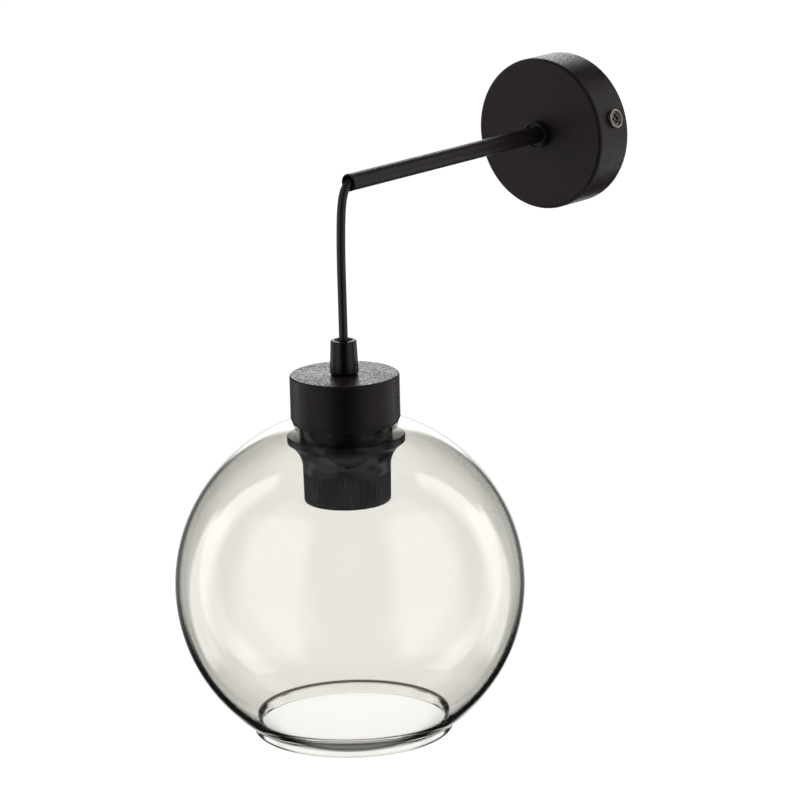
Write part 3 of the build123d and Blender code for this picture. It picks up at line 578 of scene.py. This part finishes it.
# Screws with a cross in their heads
def cross_screw(axis, aside, head, profile, arm, half_width, depth):
    """Profile (radius, height) spun about a screw's axis; a cross of two rounded bars is pressed into the head.

    The press is the larger of two products: how near a point is to a bar's middle, and how far it is from its end.
    """
    grid = turned(profile, (0, 0, 0), steps=96)
    across, along, height = grid[..., 0], grid[..., 1], grid[..., 2]
    press = np.zeros_like(across)
    for u, v in ((across, along), (along, across)):
        near = np.clip((half_width - np.abs(v)) / (0.4 * half_width), 0, 1)
        kept = np.clip((arm - np.abs(u)) / (0.35 * arm), 0, 1)
        press = np.maximum(press, near * kept)
    grid[..., 2] = height - depth * press * (height > profile[:, 1].max() / 3)
    third = np.cross(axis, aside)
    return grid[..., :1] * np.array(aside) + grid[..., 1:2] * third + grid[..., 2:] * np.array(axis) + np.array(head)


def canopy_screws():
    """Two wide heads, dished inside a flat rim, on opposite sides of the canopy."""
    canopy_r, head_r, head_t, shank_r, shank = 0.045, 0.0056, 0.002, 0.002, 0.010
    dish_r, dish_t, bowl_t = 0.0042, 0.0005, 0.0009
    cross_arm, cross_half_width, cross_depth = 0.0029, 0.0008, 0.0012
    radius = np.linspace(0, dish_r - 0.0002, 40)
    bowl = np.stack([radius, head_t - dish_t - bowl_t * np.cos(radius / dish_r * pi / 2)], -1)
    rest = rounded([(*bowl[-1], 0), (dish_r, head_t, 0.0002), (head_r, head_t, 0.0004), (head_r, 0, 0.0001),
                    (shank_r, 0, 0.0001), (shank_r, -shank, 0.0003), (0, -shank, 0)], steps=6)
    profile = np.vstack([bowl[:-1], rest])
    sides = []
    for side in (1, -1):
        axis = (side * cos(screw_turn), 0, side * sin(screw_turn))
        head = (canopy_r * axis[0], -screw_out, canopy_r * axis[2])
        grid = cross_screw(axis, (0, 1, 0), head, profile, cross_arm, cross_half_width, cross_depth)
        sides.append(surface("canopy_screw", grid, closed_columns=True))
    both = bmesh.new()
    for mesh in sides:
        both.from_mesh(mesh)
    mesh = bpy.data.meshes.new("cross_screws")
    both.to_mesh(mesh)
    both.free()
    screws = piece("cross_screws", mesh, "root", "nickel", crease=30.0)
    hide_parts("canopy_screws")


canopy_screws()


# Stage: floor, lamps and world
view_azimuth = radians(39.5)


def ray_kinds(tree):
    """Two values, 0 or 1: is the ray straight from the camera or through glass, and has it been mirrored."""
    path = tree.nodes.new("ShaderNodeLightPath")
    mirrored = tree.nodes.new("ShaderNodeMath")
    mirrored.operation = "GREATER_THAN"
    mirrored.inputs[1].default_value = 0.5
    tree.links.new(path.outputs["Glossy Depth"], mirrored.inputs[0])
    straight = tree.nodes.new("ShaderNodeMath")
    straight.operation = "ADD"
    straight.use_clamp = True
    tree.links.new(path.outputs["Is Camera Ray"], straight.inputs[0])
    tree.links.new(path.outputs["Is Transmission Ray"], straight.inputs[1])
    return straight.outputs[0], mirrored.outputs[0]


def bearing(tree, vector, low, high):
    """Smooth step of the cosine between a level bearing and the line of sight away from the camera."""
    level = tree.nodes.new("ShaderNodeVectorMath")
    level.operation = "MULTIPLY"
    level.inputs[1].default_value = (1, 1, 0)
    tree.links.new(vector, level.inputs[0])
    unit = tree.nodes.new("ShaderNodeVectorMath")
    unit.operation = "NORMALIZE"
    tree.links.new(level.outputs[0], unit.inputs[0])
    away = tree.nodes.new("ShaderNodeVectorMath")
    away.operation = "DOT_PRODUCT"
    away.inputs[1].default_value = (-sin(view_azimuth), cos(view_azimuth), 0)
    tree.links.new(unit.outputs[0], away.inputs[0])
    return ramp(tree, away.outputs["Value"], low, high)


def room_level(tree, vector):
    """Radiance of the room in mirrored rays, by the direction they leave in: dark, with pale patches.

    Each patch is a product of smooth steps: of the bearing's cosine on both its sides, and of height below and above.
    """
    unit = tree.nodes.new("ShaderNodeVectorMath")
    unit.operation = "NORMALIZE"
    tree.links.new(vector, unit.inputs[0])
    parts = tree.nodes.new("ShaderNodeSeparateXYZ")
    tree.links.new(unit.outputs[0], parts.inputs[0])
    dark = tree.nodes.new("ShaderNodeValue")
    dark.outputs[0].default_value = 0.02
    level = dark.outputs[0]
    side_near, side_far = (-0.915, -0.80, -0.02, -0.29), (0.12, 0.36)
    all_round = (-2.0, -1.5, 3.0, 2.0)
    patches = (
        (*side_near, -0.62, -0.50, 0.88, 0.74, 0.85),  # windows on both sides, near the camera
        (*side_far, 0.63, 0.61, -0.62, -0.50, 0.15, -0.15, 1.1),  # windows on both sides, far from it, low
        (*side_far, 0.61, 0.59, -0.15, 0.15, 0.34, 0.20, 1.8),  # the same, at half height
        (*side_far, 0.52, 0.50, 0.20, 0.34, 0.82, 0.77, 2.3),  # the same, high
        (0.0, 0.5, 3.0, 2.0, -0.44, -0.24, 0.05, 0.0, 0.12),  # dim wall behind
        (0.95, 0.985, 3.0, 2.0, -0.66, -0.56, 0.02, -0.02, 0.9),  # strip straight behind, low
        (0.945, 0.975, 3.0, 2.0, -0.02, 0.02, 0.72, 0.62, 2.4),  # strip straight behind, high
        (*all_round, -3.0, -2.0, -0.80, -0.90, 0.7),  # pale floor right below
    )
    for near_low, near_high, far_low, far_high, foot_low, foot_high, head_low, head_high, radiance in patches:
        across = product(tree, bearing(tree, unit.outputs[0], near_low, near_high),
                         bearing(tree, unit.outputs[0], far_low, far_high))
        upright = product(tree, ramp(tree, parts.outputs["Z"], foot_low, foot_high),
                          ramp(tree, parts.outputs["Z"], head_low, head_high, 0.0, radiance))
        level = total(tree, level, product(tree, across, upright))
    return level


def make_floor():
    """Pale floor well below: nearly white to the eye, and in mirrored rays the lower part of the room."""
    floor_z = glass_low.z - 1.1
    half = 24.0
    mesh = bpy.data.meshes.new("floor")
    corners = [(-half, -half, floor_z), (half, -half, floor_z), (half, half, floor_z), (-half, half, floor_z)]
    mesh.from_pydata(corners, [], [(0, 1, 2, 3)])
    floor = bpy.data.objects.new("floor", mesh)
    scene.collection.objects.link(floor)
    material = bpy.data.materials.new("pale_floor")
    material.use_nodes = True
    tree = material.node_tree
    tree.nodes.clear()
    paint = tree.nodes.new("ShaderNodeBsdfDiffuse")
    paint.inputs["Color"].default_value = (0.8, 0.8, 0.8, 1)
    seen = tree.nodes.new("ShaderNodeEmission")
    seen.inputs["Strength"].default_value = 1.15
    place = tree.nodes.new("ShaderNodeTexCoord")
    from_lamp = tree.nodes.new("ShaderNodeVectorMath")
    from_lamp.operation = "SUBTRACT"
    from_lamp.inputs[1].default_value = (0, lamp_y, ball_z)
    tree.links.new(place.outputs["Object"], from_lamp.inputs[0])
    dim = tree.nodes.new("ShaderNodeEmission")
    tree.links.new(room_level(tree, from_lamp.outputs[0]), dim.inputs["Strength"])
    straight, mirrored = ray_kinds(tree)
    seen_share = tree.nodes.new("ShaderNodeMath")
    seen_share.operation = "MULTIPLY"
    seen_share.inputs[1].default_value = 0.9
    tree.links.new(straight, seen_share.inputs[0])
    lit = mixed(tree, seen_share.outputs[0], paint.outputs[0], seen.outputs[0])
    output = tree.nodes.new("ShaderNodeOutputMaterial")
    tree.links.new(mixed(tree, mirrored, lit, dim.outputs[0]), output.inputs["Surface"])
    mesh.materials.append(material)


def make_world():
    """White to the eye and through glass, a weak fill on surfaces, and the room in mirrored rays."""
    world = bpy.data.worlds.new("studio")
    scene.world = world
    world.use_nodes = True
    tree = world.node_tree
    tree.nodes.clear()
    seen = tree.nodes.new("ShaderNodeBackground")
    seen.inputs["Color"].default_value = (1, 1, 1, 1)
    seen.inputs["Strength"].default_value = 1.1
    fill = tree.nodes.new("ShaderNodeBackground")
    fill.inputs["Strength"].default_value = 0.12
    room = tree.nodes.new("ShaderNodeBackground")
    place = tree.nodes.new("ShaderNodeTexCoord")
    tree.links.new(room_level(tree, place.outputs["Generated"]), room.inputs["Strength"])
    straight, mirrored = ray_kinds(tree)
    lit = mixed(tree, straight, fill.outputs[0], seen.outputs[0])
    output = tree.nodes.new("ShaderNodeOutputWorld")
    tree.links.new(mixed(tree, mirrored, lit, room.outputs[0]), output.inputs["Surface"])


def soft_box(name, aside, elevation, distance, width, height, radiance):
    """Rectangular lamp facing the part's middle, unseen in mirrors. Power: radiance times area times pi."""
    middle = Vector((0, -0.2, -0.2))
    azimuth = view_azimuth + aside
    away = Vector((sin(azimuth) * cos(elevation), -cos(azimuth) * cos(elevation), sin(elevation)))
    data = bpy.data.lights.new(name, "AREA")
    data.shape = "RECTANGLE"
    data.size = width
    data.size_y = height
    data.energy = radiance * width * height * pi
    box = bpy.data.objects.new(name, data)
    box.location = middle + away * distance
    box.rotation_euler = away.to_track_quat("Z", "Y").to_euler()
    box.visible_camera = False
    box.visible_glossy = False
    box.visible_transmission = False
    scene.collection.objects.link(box)


make_floor()
make_world()
for side, name in ((-1, "left"), (1, "right")):
    soft_box(name + "_box", side * radians(105), radians(-3), 1.1, 0.9, 1.9, 2.8)
soft_box("top_box", 0, radians(80), 1.3, 1.0, 1.0, 0.9)

scene.view_settings.view_transform = "Standard"
